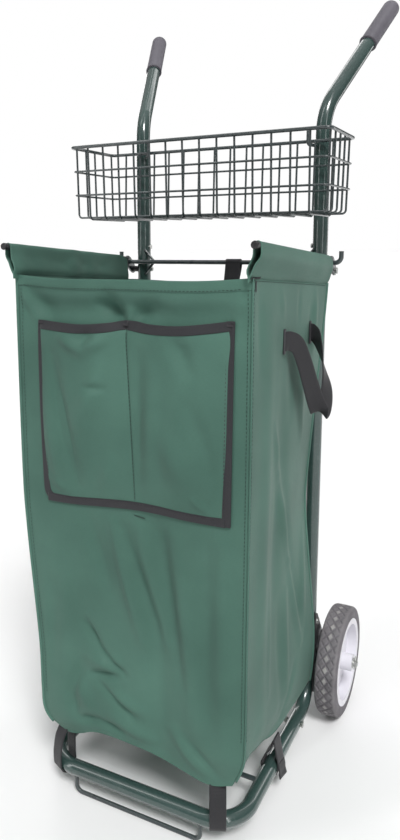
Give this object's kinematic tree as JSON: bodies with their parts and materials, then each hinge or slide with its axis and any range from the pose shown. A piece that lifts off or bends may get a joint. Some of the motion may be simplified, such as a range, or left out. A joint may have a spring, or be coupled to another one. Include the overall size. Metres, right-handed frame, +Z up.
{
  "type": "shopping cart",
  "caption": "Wheeled shopping cart: bent-tube frame with splayed handles, a hanging cloth bag with front pockets and a lift-off wire basket.",
  "frame": {"origin": "middle of the footprint, on the floor", "axes": "+Z up, the front of the cart faces -Y and the user stands on the +Y side; left and right are as seen from the front, left is -X"},
  "size_m": [0.4388, 0.5182, 1.1669],
  "materials": {
    "tube_paint": "glossy dark green powder coat on steel tube",
    "wire_paint": "dark green powder coat on steel wire",
    "bracket_paint": "black powder coat",
    "zinc_steel": "zinc plated",
    "black_plastic": "moulded black",
    "grip_plastic": "matte grey soft vinyl",
    "wheel_plastic": "moulded off-white",
    "tyre_rubber": "solid grey rubber",
    "bag_cloth": "woven dark green oxford cloth",
    "webbing": "black woven webbing and tape"
  },
  "bodies": {
    "frame": {"arm_bolts": "zinc_steel", "arm_cap_left": "black_plastic", "arm_cap_right": "black_plastic", "arm_nuts": "zinc_steel", "arm_spacers": "black_plastic", "axle": "zinc_steel", "axle_bracket_left": "bracket_paint", "axle_bracket_right": "bracket_paint", "back_loop": "webbing", "bag_arm_left": "wire_paint", "bag_arm_right": "wire_paint", "bag_back": "bag_cloth", "bag_bottom": "bag_cloth", "bag_front": "bag_cloth", "bag_side_left": "bag_cloth", "bag_side_right": "bag_cloth", "bag_sleeve_left": "bag_cloth", "bag_sleeve_right": "bag_cloth", "base_cross_rod": "wire_paint", "base_loop": "tube_paint", "basket_hook_left": "wire_paint", "basket_hook_right": "wire_paint", "bracket_rivets": "zinc_steel", "crossbar": "wire_paint", "crossbar_strut_left": "wire_paint", "crossbar_strut_right": "wire_paint", "front_foot": "wire_paint", "front_strap_left": "webbing", "front_strap_right": "webbing", "grip_left": "grip_plastic", "grip_right": "grip_plastic", "pocket_binding": "webbing", "pocket_left": "bag_cloth", "pocket_right": "bag_cloth", "rail_bolts": "zinc_steel", "rail_nuts": "zinc_steel", "side_strap_left": "webbing", "side_strap_right": "webbing", "split_pins": "zinc_steel", "strut_screws": "zinc_steel", "upright_left": "tube_paint", "upright_right": "tube_paint", "wheel_spacers": "black_plastic", "wheel_washers": "zinc_steel"},
    "wheel_left": {"wheel_hub_left": "wheel_plastic", "tyre_left": "tyre_rubber"},
    "wheel_right": {"wheel_hub_right": "wheel_plastic", "tyre_right": "tyre_rubber"},
    "basket": {"basket_rim": "wire_paint", "basket_front": "wire_paint", "basket_back": "wire_paint", "basket_end_left": "wire_paint", "basket_end_right": "wire_paint", "basket_floor": "wire_paint"},
    "carry_handle_left": {"carry_handle_left": "webbing"},
    "carry_handle_right": {"carry_handle_right": "webbing"}
  },
  "joints": [
    {"name": "wheel_left_spin", "type": "hinge", "parent": "frame", "child": "wheel_left", "pos_m": [-0.186, 0.14115, 0.0905], "axis": [1, 0, 0], "continuous": true},
    {"name": "wheel_right_spin", "type": "hinge", "parent": "frame", "child": "wheel_right", "pos_m": [0.186, 0.14115, 0.0905], "axis": [1, 0, 0], "continuous": true},
    {"name": "basket_lift", "type": "slide", "parent": "frame", "child": "basket", "axis": [0, 0, 1], "range_m": [0, 0.022]},
    {"name": "carry_handle_left_swing", "type": "hinge", "parent": "frame", "child": "carry_handle_left", "pos_m": [-0.1692, -0.07385, 0.671], "axis": [0, 1, 0], "range_deg": [0, 150]},
    {"name": "carry_handle_right_swing", "type": "hinge", "parent": "frame", "child": "carry_handle_right", "pos_m": [0.1692, -0.07385, 0.671], "axis": [0, -1, 0], "range_deg": [0, 150]}
  ]
}
